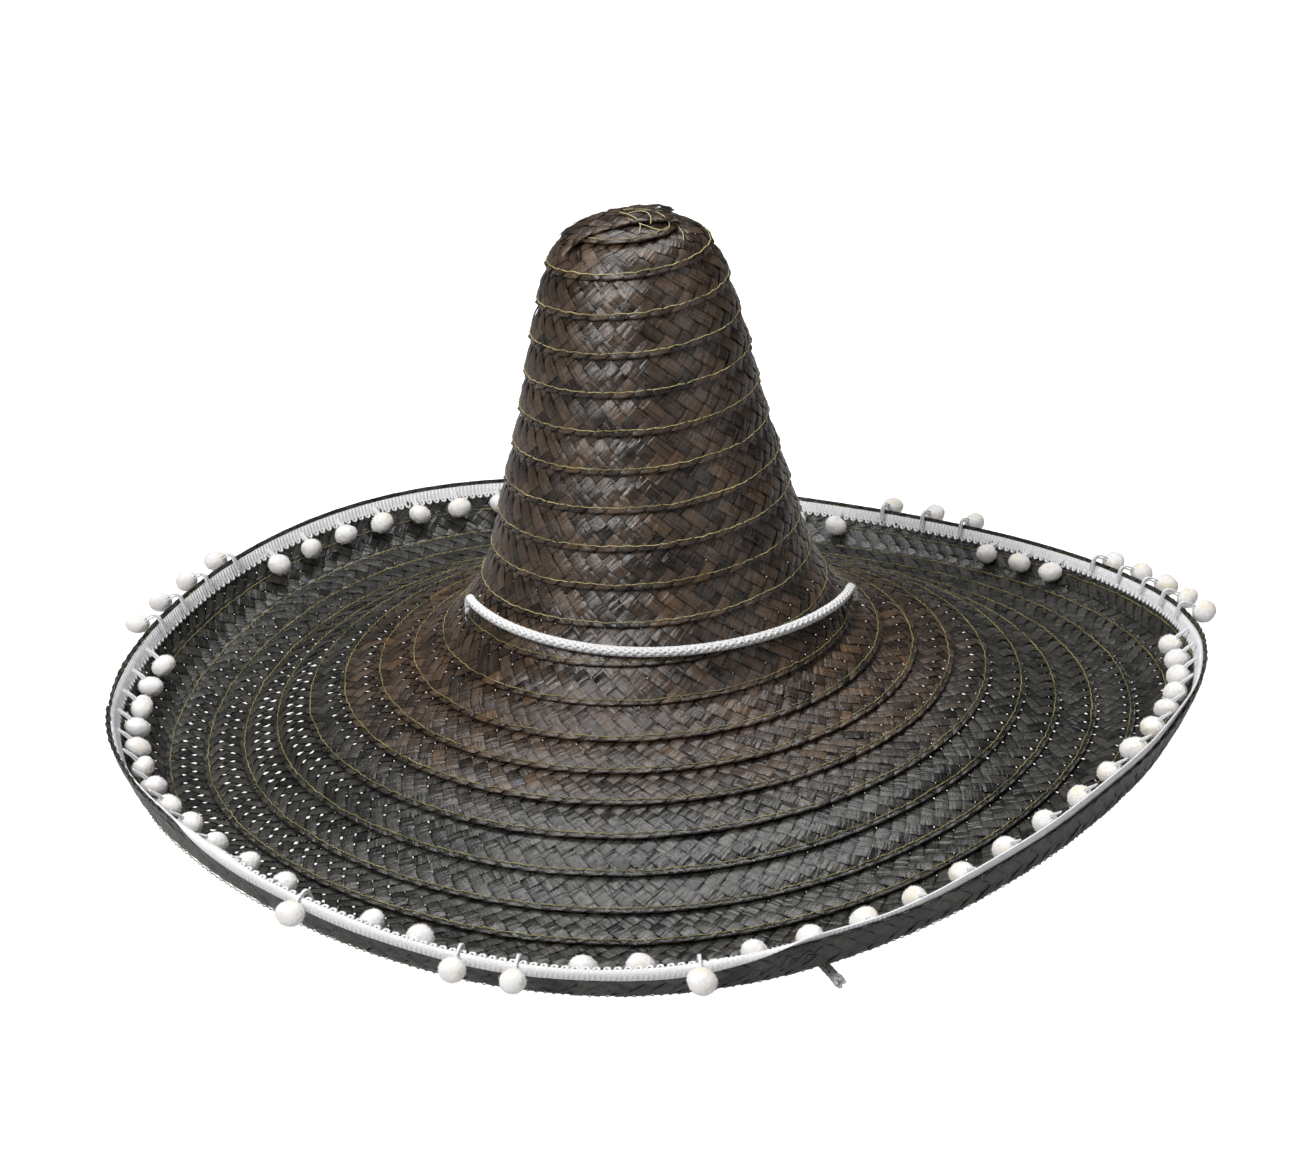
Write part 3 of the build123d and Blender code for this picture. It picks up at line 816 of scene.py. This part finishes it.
def trimGuide():
    angle = np.radians(np.arange(0, 361, 2.0))
    across = np.linspace(0, trim["width"] + 2, 15)
    a, v = np.meshgrid(angle, across, indexing="ij")
    degrees = np.degrees(a) % 360
    rolled = trim["rolled"] * smooth(degrees, trim["rolledFrom"],
        trim["rolledFrom"] + 24) * smooth(-degrees, -trim["rolledTo"], -trim["rolledTo"] + 22)
    # over 0 on the inner face, under it round the edge and down the outer face
    round = trim["inset"] - trim["width"] / 2 + v - rolled
    inner, innerOut = hatSurface(np.maximum(round, 0), a)
    rim = inner[:, 0]
    along = np.concatenate([[0], np.cumsum(np.linalg.norm(np.diff(rim, axis=0), axis=1))])
    top, topOut = hatSurface(0 * v, a)
    off = trim["offStraw"]
    bend = np.clip(-round / off, 0, pi)  # how far round the edge, as an angle
    upward = hatSurface(-0.5 + 0 * v, a)[0] - hatSurface(0.5 + 0 * v, a)[0]
    upward /= np.linalg.norm(upward, axis=-1, keepdims=True)
    outward = np.where(round[..., None] > 0, innerOut,
        np.cos(bend)[..., None] * topOut + np.sin(bend)[..., None] * upward)
    below = hatSurface(np.maximum(-round - off * pi, 0), a)[0]
    place = np.where(round[..., None] > 0, inner, np.where(bend[..., None] < pi, top,
        below)) + outward * (off + 0.25 * np.sin(a * 23))[..., None]
    n, m = a.shape
    index = np.arange(n * m).reshape(n, m)
    faces = np.stack([index[:-1, :-1], index[1:, :-1], index[1:, 1:], index[:-1, 1:]], -1).reshape(-1, 4)
    mesh = newMesh("trimGuide", place.reshape(-1, 3) * mm, faces)
    giveUv(mesh, "laid", np.stack([along[:, None] + 0 * v, v], -1).reshape(-1, 2) * mm)
    giveValue(mesh, "outward", outward.reshape(-1, 3), "FLOAT_VECTOR")
    return mesh, along[-1]


def gimpLink():  # one loop of the gimp: two ribs across the tape joined by a rounded scallop
    half, width, r = trim["spacing"] / 4, trim["width"], trim["yarn"]
    path = [(-half, 0.3, 0), (-half, width * 0.45, 0.25), (-half * 1.15, width * 0.8, 0.1),
        (-half * 0.85, width * 0.97, 0.25), (0, width * 1.06, 0.45), (half * 0.85, width * 0.97, 0.25),
        (half * 1.15, width * 0.8, 0.1), (half, width * 0.45, 0.25), (half, 0.3, 0)]
    sides, points = 6, []
    for i, p in enumerate(path):
        before, after = path[max(i - 1, 0)], path[min(i + 1, len(path) - 1)]
        ahead = Vector([b - a for a, b in zip(before, after)]).normalized()
        up = Vector((0, 0, 1))
        out = ahead.cross(up).normalized()
        up = out.cross(ahead)
        fat = r * (1.25 if 2 <= i <= 6 else 1)
        ring = [out * cos(tau * j / sides) + up * sin(tau * j / sides) for j in range(sides)]
        points += [(Vector(p) + way * fat) * mm for way in ring]
    faces = [[sides * k + j, sides * k + sides + j, sides * k + sides + (j + 1) % sides,
        sides * k + (j + 1) % sides] for k in range(len(path) - 1) for j in range(sides)]
    last = sides * (len(path) - 1)
    faces += [list(range(sides)), [last + j for j in reversed(range(sides))]]
    return newMesh("gimpLink", points, faces)


def trimTree():
    tree, given = newTree("gimpRound", [("Link", "Object"), ("Count", "Int"), ("Spacing", "Float"),
        ("Length", "Float"), ("Width", "Float"), ("Thickness", "Float"), ("Material", "Material")])
    surface = given.outputs["Geometry"]
    line = addNode(tree, "GeometryNodeMeshLine", {"Count": given.outputs["Count"],
        "Start Location": addNode(tree, "ShaderNodeCombineXYZ",
        {"X": reckon(tree, "MULTIPLY", given.outputs["Spacing"], 0.5)}),
        "Offset": addNode(tree, "ShaderNodeCombineXYZ", {"X": given.outputs["Spacing"]})}, mode="OFFSET")
    placed = addNode(tree, "GeometryNodeInstanceOnPoints",
        {"Points": line, "Instance": addNode(tree, "GeometryNodeObjectInfo",
        {"Object": given.outputs["Link"], "As Instance": True}).outputs["Geometry"]})
    box = addNode(tree, "GeometryNodeMeshCube",
        {"Size": addNode(tree, "ShaderNodeCombineXYZ",
        {"X": given.outputs["Length"], "Y": given.outputs["Width"], "Z": given.outputs["Thickness"]}),
        "Vertices X": 541, "Vertices Y": 9, "Vertices Z": 2})
    tape = addNode(tree, "GeometryNodeTransform", {"Geometry": box,
        "Translation": addNode(tree, "ShaderNodeCombineXYZ",
        {"X": reckon(tree, "MULTIPLY", given.outputs["Length"], 0.5),
        "Y": reckon(tree, "MULTIPLY", given.outputs["Width"], 0.5)})})
    joined = tree.nodes.new("GeometryNodeJoinGeometry")
    for part in (tape, placed):
        tree.links.new(part.outputs[0], joined.inputs[0])
    flat = addNode(tree, "GeometryNodeRealizeInstances", {"Geometry": joined})
    parts = addNode(tree, "ShaderNodeSeparateXYZ", {0: addNode(tree, "GeometryNodeInputPosition")})
    inside = addNode(tree, "ShaderNodeClamp", {"Value": parts.outputs["X"], "Min": 0.00001,
        "Max": reckon(tree, "SUBTRACT", given.outputs["Length"], 0.00001)})
    wrapped = wrap(tree, flat, surface, inside, addNode(tree, "ShaderNodeClamp",
        {"Value": parts.outputs["Y"], "Min": 0.00001, "Max": 0.0099}), parts.outputs["Z"])
    return endTree(tree, addNode(tree, "GeometryNodeMergeByDistance",
        {"Geometry": wrapped, "Distance": 0.00001}), given.outputs["Material"])


trimSurface, trimLength = trimGuide()
linkCount = round(trimLength / trim["spacing"])
made = grow("gimp_trim", trimSurface, trimTree(), Link=asSource("gimpLink", gimpLink()), Count=linkCount,
    Spacing=trimLength / linkCount * mm, Length=trimLength * mm, Width=trim["width"] * 0.82 * mm,
    Thickness=0.7 * mm, Material=gimpYarn)
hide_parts("trim_tape")
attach(made, bodyOf["trim_tape"])
print("trim sewn on", linkCount, "loops")

# pom-poms

pom = {"radius": 6.5, "reach": 12.0, "edgeClearance": 3.4, "gap": 0.35,
    "firstAngle": 169.0, "count": 66, "stemHeight": 4.6, "frontLift": 3.0, "fibres": 0.6,
    "fibreLength": 0.75, "runs": [("inside", 12), ("outside", 1), ("inside", 2), ("outside", 2),
    ("inside", 2), ("outside", 1), ("inside", 16), ("outside", 5), ("inside", 3), ("outside", 3),
    ("inside", 15), ("outside", 4)]}
pomNodes = sorted(node for node in frame["nodes"] if node.startswith("pom_poms_"))


def edgePlace(angle, outwards, above):  # from the rim's edge, along its last chord and off it
    (r0, z0), (r1, z1) = hat["brimLine"][-3], hat["brimLine"][-1]
    lift = float(waveHeight(np.array(angle), np.array(hat["rimRadius"])))
    size = sqrt((r1 - r0) ** 2 + (z1 - z0) ** 2)
    ar, az = (r1 - r0) / size, (z1 - z0) / size
    radius, height = r1 + outwards * ar - above * az, z1 + outwards * az + above * ar
    return Vector((radius * cos(angle), radius * sin(angle), height + standHeight + lift))


def pomPlan():
    kinds = [kind for kind, count in pom["runs"] for _ in range(count)]
    plan = []
    for k, kind in enumerate(kinds):
        angle = radians(pom["firstAngle"] + k * 360 / pom["count"])
        foot = edgePlace(angle, -trim["inset"], pom["stemHeight"])
        if kind == "inside":
            place, outward = hatSurface(np.array(trim["inset"] + pom["reach"]), np.array(angle))
            centre = Vector(place + outward * (hat["strawThickness"] / 2 + pom["radius"] + 2 * pom["gap"]))
            around = np.degrees(angle) % 360
            centre.z += pom["frontLift"] * float(smooth(around, 200, 225) * smooth(-around, -350, -330))
            middle = (foot + centre) / 2 + Vector(outward) * 1.2
            route = [foot - (centre - foot).normalized() * 1.5, foot, middle, centre]
        else:
            over = edgePlace(angle, pom["edgeClearance"], pom["stemHeight"])
            centre = edgePlace(angle, 2.0, -hat["strawThickness"] / 2 - pom["radius"] - 4 * pom["gap"])
            route = [foot, (foot + over) / 2, over, centre + (over - centre) * 0.4, centre]
        plan.append((centre, route))
    return plan


def pomTree():
    tree, given = newTree("feltBall", [("Radius", "Float"), ("Lumps", "Float"), ("Fibre length", "Float"),
        ("Fibres", "Float"), ("Seed", "Int"), ("Material", "Material")])
    ball = addNode(tree, "GeometryNodeMeshIcoSphere", {"Radius": given.outputs["Radius"], "Subdivisions": 5})
    squashed = addNode(tree, "FunctionNodeRandomValue",
        {"Min": (0.98, 0.86, 0.76), "Max": (1.08, 1.0, 0.88), "Seed": given.outputs["Seed"]},
        data_type="FLOAT_VECTOR")
    turned = addNode(tree, "FunctionNodeRandomValue", {"Min": (-0.6, -0.6, 0), "Max": (0.6, 0.6, 6.28),
        "Seed": given.outputs["Seed"]}, data_type="FLOAT_VECTOR")
    balls = addNode(tree, "GeometryNodeRealizeInstances",
        {"Geometry": addNode(tree, "GeometryNodeInstanceOnPoints",
        {"Points": given.outputs["Geometry"], "Instance": ball, "Rotation": turned, "Scale": squashed})})
    smoothed = addNode(tree, "GeometryNodeSetShadeSmooth", {"Geometry": balls, "Shade Smooth": True})
    normal = addNode(tree, "GeometryNodeInputNormal")
    broad = addNode(tree, "ShaderNodeTexNoise", {"Scale": 130.0, "Detail": 2.0})
    fine = addNode(tree, "ShaderNodeTexNoise", {"Scale": 900.0, "Detail": 2.0})
    both = reckon(tree, "ADD", reckon(tree, "SUBTRACT", broad.outputs[0], 0.5),
        reckon(tree, "MULTIPLY", reckon(tree, "SUBTRACT", fine.outputs[0], 0.5), 0.28))
    push = reckonVector(tree, "SCALE", normal, reckon(tree, "MULTIPLY", both, given.outputs["Lumps"]))
    lumpy = addNode(tree, "GeometryNodeSetPosition", {"Geometry": smoothed, "Offset": push})
    roots = addNode(tree, "GeometryNodeDistributePointsOnFaces",
        {"Mesh": lumpy, "Density": given.outputs["Fibres"], "Seed": given.outputs["Seed"]})
    hair = addNode(tree, "GeometryNodeMeshCone", {"Vertices": 3, "Radius Top": 0.00002,
        "Radius Bottom": 0.00009, "Depth": given.outputs["Fibre length"]})
    tilt = addNode(tree, "FunctionNodeRandomValue", {"Min": (-0.9, -0.9, 0), "Max": (0.9, 0.9, 6.28),
        "Seed": given.outputs["Seed"]}, data_type="FLOAT_VECTOR")
    leaned = addNode(tree, "FunctionNodeRotateRotation",
        {"Rotation": roots.outputs["Rotation"], "Rotate By": tilt}, rotation_space="LOCAL")
    hairs = addNode(tree, "GeometryNodeInstanceOnPoints",
        {"Points": roots, "Instance": hair, "Rotation": leaned})
    joined = tree.nodes.new("GeometryNodeJoinGeometry")
    for part in (hairs, lumpy):
        tree.links.new(part.outputs[0], joined.inputs[0])
    return endTree(tree, joined, given.outputs["Material"])


feltBall = pomTree()
plan = pomPlan()
starts = [int(node[-2:]) - 1 for node in pomNodes]
for node, first, after in zip(pomNodes, starts, starts[1:] + [pom["count"]]):
    own = plan[first:after]
    balls = grow("felt_poms" + node[-3:], newMesh("centres", [c * mm for c, _ in own], []), feltBall,
        Radius=pom["radius"] * mm, Lumps=1.3 * mm, Fibre_length=pom["fibreLength"] * mm,
        Fibres=pom["fibres"] / mm ** 2, Seed=first, Material=felt)
    stemLines = [nurbsLine([p * mm for p in route], 6) for _, route in own]
    stems = grow("pom_stems" + node[-3:], pathMesh(stemLines), windStrands, Strands=4,
        Ring_radius=0.75 * mm, Strand_radius=0.5 * mm, Lay=60 * mm, Crossing=0.0, Flare=1.0,
        Step=1.2 * mm, Material=gimpYarn)
    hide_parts(node)
    for piece, slotName in ((balls, "pom"), (stems, "trim")):
        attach(piece, bodyOf[node])
    print(node, len(own), "pom-poms,", len(balls.data.polygons), "faces")
print("pom-poms hung")

for source in sources:
    bpy.data.objects.remove(source)

# studio

studio = {"key": 30.0, "fill": 4.0, "top": 25.0, "world": 0.06, "floorSeen": 1.1, "floorGlow": 0.12}


def areaLight(name, place, size, power):
    data = bpy.data.lights.new(name, "AREA")
    data.shape, data.size, data.energy = "DISK", size, power
    made = bpy.data.objects.new(name, data)
    made.location = place
    made.rotation_mode = "QUATERNION"
    made.rotation_quaternion = (Vector((0, 0, 0.1)) - Vector(place)).to_track_quat("-Z", "Y")
    bpy.context.scene.collection.objects.link(made)


def buildStudio():
    size = 14.0
    floorMesh = newMesh("studio_floor", [(-size, -size, 0), (size, -size, 0), (size, size, 0),
        (-size, size, 0)], [(0, 1, 2, 3)])
    # even white to the eye, with little light thrown back up
    material, tree = newMaterial("white light table")
    grain = addNode(tree, "ShaderNodeTexNoise",
        {"Vector": addNode(tree, "ShaderNodeTexCoord").outputs["Object"], "Scale": 3.0})
    colour = addNode(tree, "ShaderNodeMix", {"Factor": grain, "A": linear("#b4b4b4"),
        "B": linear("#bababa")}, data_type="RGBA")
    seen = addNode(tree, "ShaderNodeMapRange",
        {"Value": addNode(tree, "ShaderNodeLightPath").outputs["Is Camera Ray"],
        "To Min": studio["floorGlow"], "To Max": studio["floorSeen"]})
    endMaterial(tree, colour, Roughness=1.0, **{"Emission Color": linear("#ffffff"),
        "Emission Strength": seen})
    floorMesh.materials.append(material)
    floor = bpy.data.objects.new("studio_floor", floorMesh)
    bpy.context.scene.collection.objects.link(floor)
    areaLight("key_light", (-0.9, -1.1, 1.5), 0.9, studio["key"])
    areaLight("fill_light", (1.3, -0.9, 1.1), 1.0, studio["fill"])
    areaLight("top_light", (0.0, 0.5, 1.9), 1.2, studio["top"])
    world = bpy.data.worlds.new("studio")
    world.use_nodes = True
    world.node_tree.nodes["Background"].inputs["Color"].default_value = (1, 1, 1, 1)
    world.node_tree.nodes["Background"].inputs["Strength"].default_value = studio["world"]
    bpy.context.scene.world = world
    bpy.context.scene.view_settings.view_transform = "Standard"


buildStudio()
print("studio lit")
